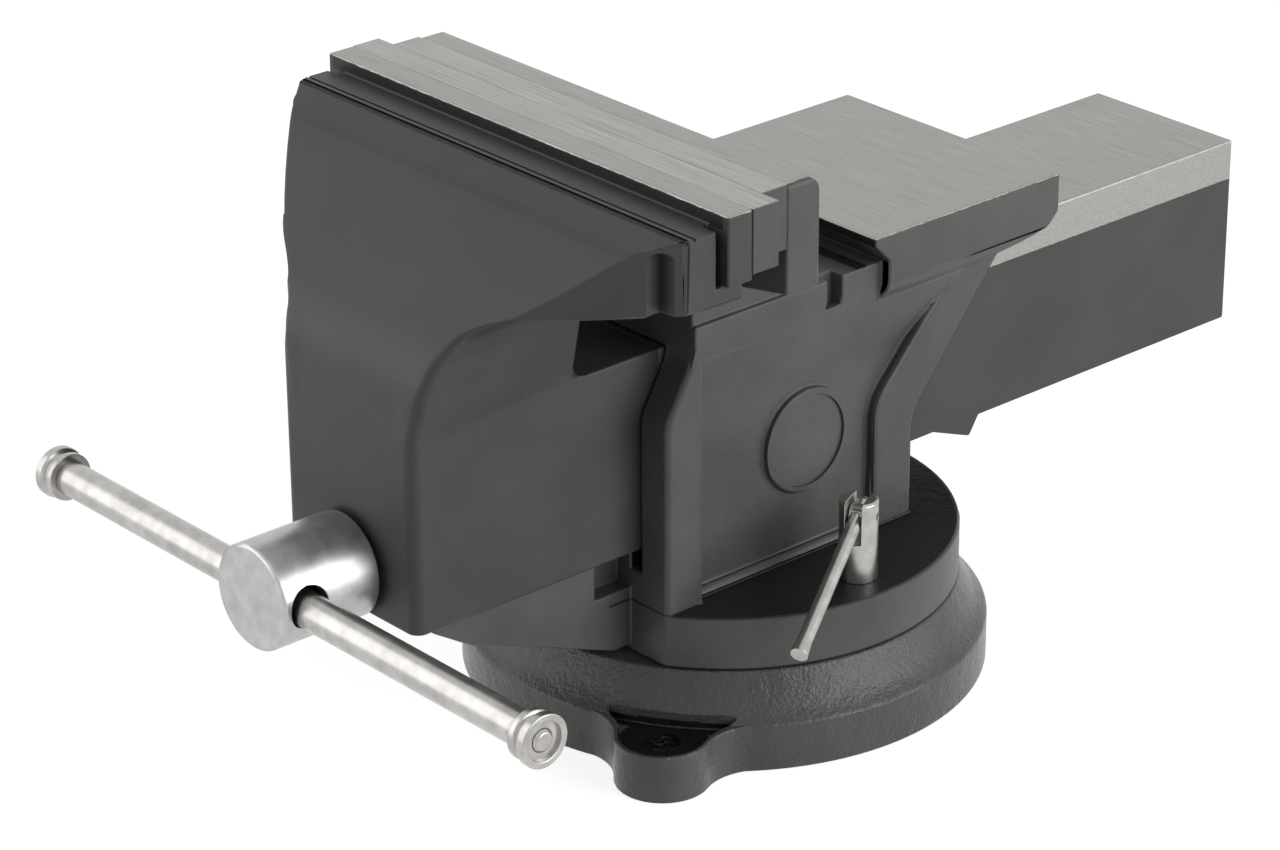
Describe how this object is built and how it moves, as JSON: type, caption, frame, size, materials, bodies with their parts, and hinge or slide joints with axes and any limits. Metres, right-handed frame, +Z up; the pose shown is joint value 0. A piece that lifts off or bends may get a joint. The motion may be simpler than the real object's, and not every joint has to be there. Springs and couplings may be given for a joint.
{
  "type": "swivel bench vise",
  "caption": "Bench vise with a sliding jaw on a box slide, a flat anvil behind the fixed jaw, a screw spindle with bar handle, and a rotating base with lever locks.",
  "frame": {"origin": "where the swivel axis meets the bench, at the centre of the base's two bolt holes", "axes": "+Z up along the swivel axis, +Y towards the rear end of the slide, so the handle is at -Y, and +X to the right as seen from the handle"},
  "size_m": [0.256, 0.4258, 0.218],
  "materials": {
    "painted_casting": "dark grey satin paint over a cast skin, machined bare on the anvil top, the jaw tops and the slide top",
    "plated_steel": "bright zinc and nickel plate, satin",
    "machined_steel": "ground steel",
    "raw_iron": "bare cast iron",
    "fastener_steel": "dark oiled steel"
  },
  "bodies": {
    "base": {"swivel_base": "painted_casting"},
    "vise_body": {"body_casting": "painted_casting", "fixed_jaw_plate": "machined_steel", "fixed_plate_screws": "fastener_steel", "pivot_bolt": "fastener_steel", "pivot_washer": "fastener_steel", "pivot_nut": "fastener_steel", "clamp_studs": "fastener_steel", "spindle_nut": "raw_iron", "spindle_nut_bolts": "fastener_steel"},
    "moving_jaw": {"moving_jaw_casting": "painted_casting", "moving_jaw_plate": "machined_steel", "moving_plate_screws": "fastener_steel"},
    "spindle": {"spindle": "plated_steel", "thrust_washer": "plated_steel", "retaining_collar": "machined_steel", "collar_pin": "machined_steel"},
    "handle": {"handle_bar": "plated_steel", "handle_knob_left": "plated_steel", "handle_knob_right": "plated_steel"},
    "lock_nut_right": {"lock_nut_right": "plated_steel", "lever_pin_right": "fastener_steel"},
    "lock_nut_left": {"lock_nut_left": "plated_steel", "lever_pin_left": "fastener_steel"},
    "lock_lever_right": {"lock_lever_right": "plated_steel"},
    "lock_lever_left": {"lock_lever_left": "plated_steel"}
  },
  "joints": [
    {"name": "swivel", "type": "hinge", "parent": "base", "child": "vise_body", "pos_m": [0, 0, 0.033], "axis": [0, 0, 1], "continuous": true},
    {"name": "jaw_slide", "type": "slide", "parent": "vise_body", "child": "moving_jaw", "axis": [0, -1, 0], "range_m": [0, 0.2001]},
    {"name": "spindle_turn", "type": "hinge", "parent": "moving_jaw", "child": "spindle", "pos_m": [0, -0.1642, 0.0884], "axis": [0, -1, 0], "range_deg": [0, 12000]},
    {"name": "handle_slide", "type": "slide", "parent": "spindle", "child": "handle", "axis": [1, 0, 0], "range_m": [-0.1063, 0.0958]},
    {"name": "lock_nut_right_turn", "type": "hinge", "parent": "vise_body", "child": "lock_nut_right", "pos_m": [0.06747, 0, 0.0525], "axis": [0, 0, 1], "range_deg": [-25, 150]},
    {"name": "lock_lever_right_tilt", "type": "hinge", "parent": "lock_nut_right", "child": "lock_lever_right", "pos_m": [0.06747, 0, 0.076], "axis": [-0.8926, -0.4509, 0], "range_deg": [0, 113]},
    {"name": "lock_nut_left_turn", "type": "hinge", "parent": "vise_body", "child": "lock_nut_left", "pos_m": [-0.06747, 0, 0.0525], "axis": [0, 0, 1], "range_deg": [-150, 25]},
    {"name": "lock_lever_left_tilt", "type": "hinge", "parent": "lock_nut_left", "child": "lock_lever_left", "pos_m": [-0.06747, 0, 0.076], "axis": [-0.8926, 0.4509, 0], "range_deg": [0, 113]}
  ],
  "couplings": [
    {"joint": "jaw_slide", "follows": "spindle_turn", "m_per_rad": 0.00095493}
  ]
}
